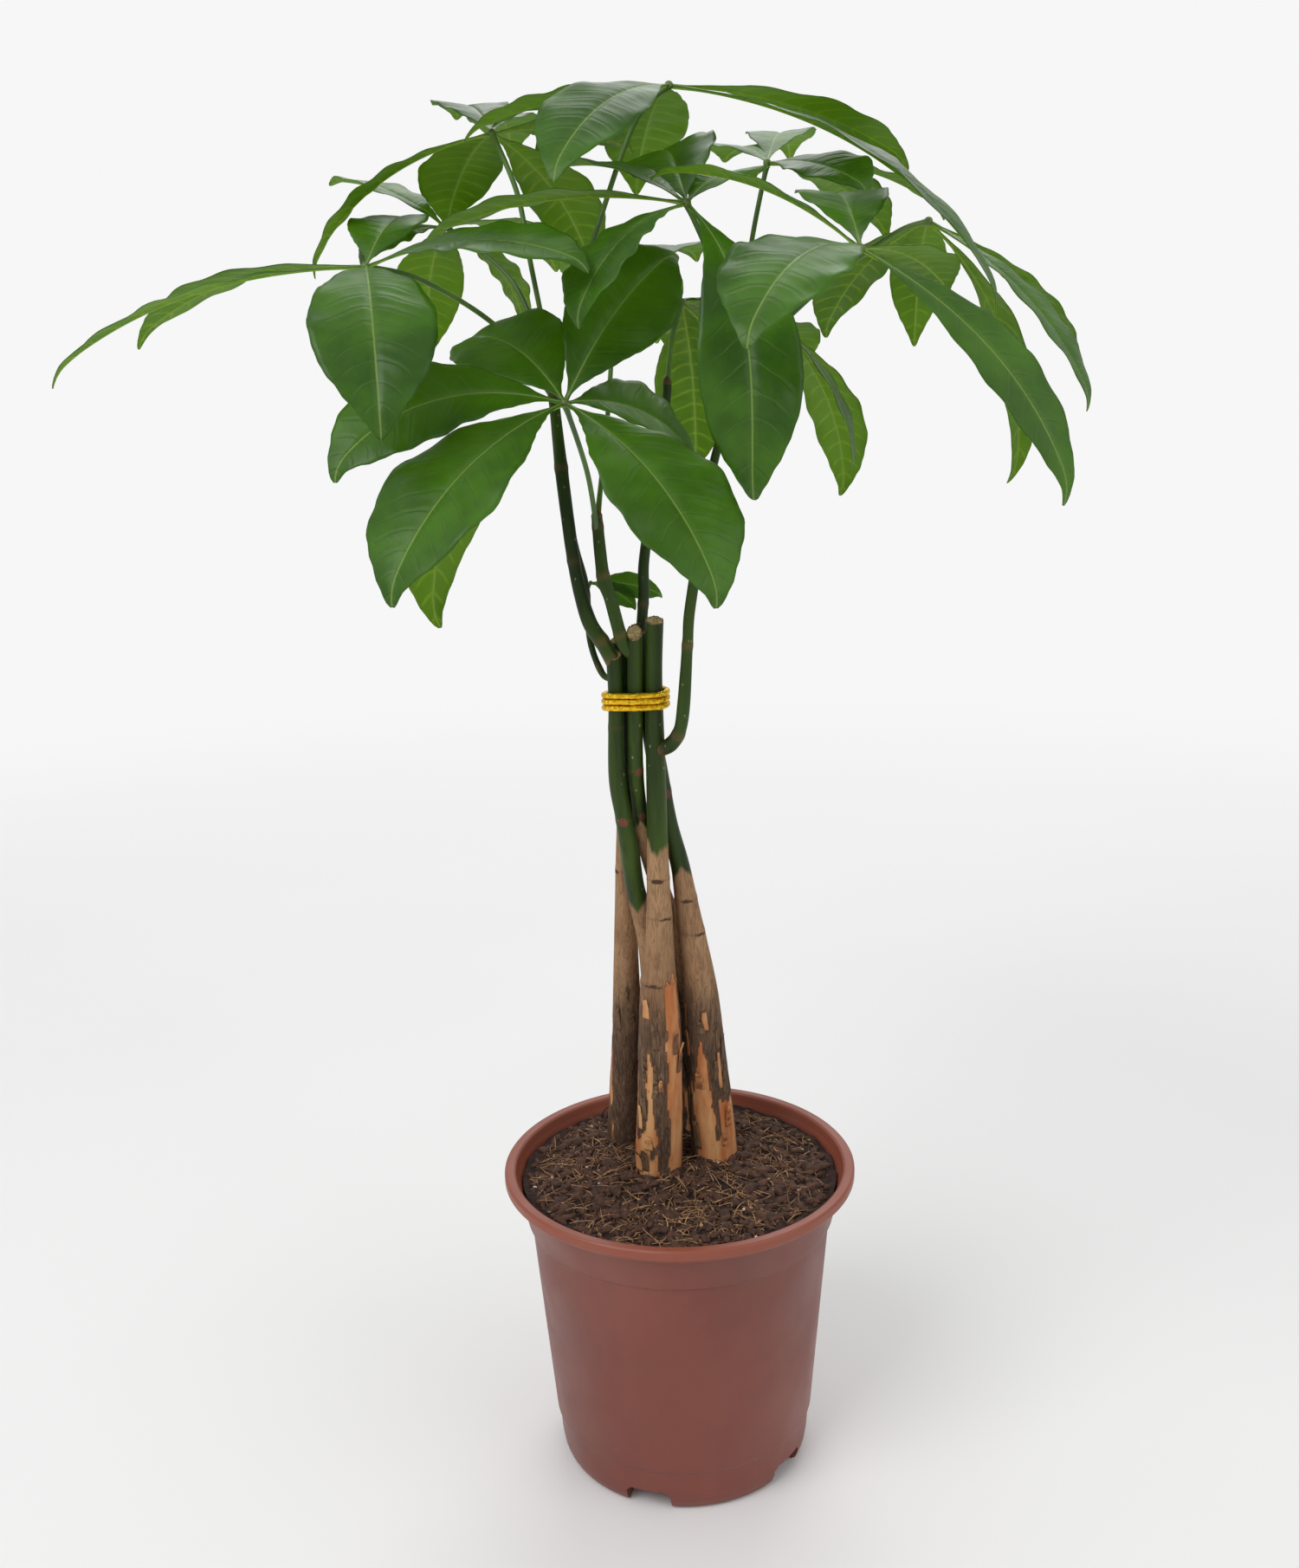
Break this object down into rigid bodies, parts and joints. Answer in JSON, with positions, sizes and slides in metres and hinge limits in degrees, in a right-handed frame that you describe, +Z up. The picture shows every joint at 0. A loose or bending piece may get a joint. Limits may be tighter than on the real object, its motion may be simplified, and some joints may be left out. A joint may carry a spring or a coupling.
{
  "type": "potted money tree",
  "caption": "Potted money tree with slim trunks gathered by a wire tie, green shoots and drooping hand-shaped leaves in a flared plastic nursery pot; a floor or table plant.",
  "frame": {"origin": "on the floor, under the middle of the whole plant's bounding box; the pot's own axis is 31 mm to the right of it and 40 mm in front", "axes": "+Z up the plant, -Y towards the plant's front, +X to the right as seen from the front"},
  "size_m": [0.4486, 0.4027, 0.6463],
  "materials": {
    "terracotta_plastic": "satin moulded plastic, brick red-brown",
    "potting_soil": "damp coir and peat crumbs with pale fibres",
    "bark": "tan-brown papery bark, green towards the top, with peeled patches",
    "green_stem": "smooth green stem skin with pale dots",
    "gold_tie": "shiny gold-yellow coated wire",
    "leaf": "semi-gloss green leaf, darker above and yellower beneath, pale ribs"
  },
  "bodies": {
    "root": {"pot": "terracotta_plastic", "soil": "potting_soil", "trunk_1": "bark", "trunk_2": "bark", "trunk_3": "bark", "trunk_4": "bark", "trunk_5": "bark", "shoot_1": "green_stem", "shoot_2": "green_stem", "shoot_3": "green_stem", "shoot_4": "green_stem", "shoot_5": "green_stem", "wire_tie": "gold_tie", "leaf_a": "leaf", "leaf_b": "leaf", "leaf_c": "leaf", "leaf_d": "leaf", "leaf_e": "leaf", "leaf_f": "leaf", "leaf_g": "leaf", "leaf_h": "leaf", "leaf_i": "leaf", "leaf_j": "leaf", "leaf_k": "leaf", "leaf_l": "leaf", "leaf_m": "leaf", "leaf_n": "leaf"}
  },
  "joints": []
}
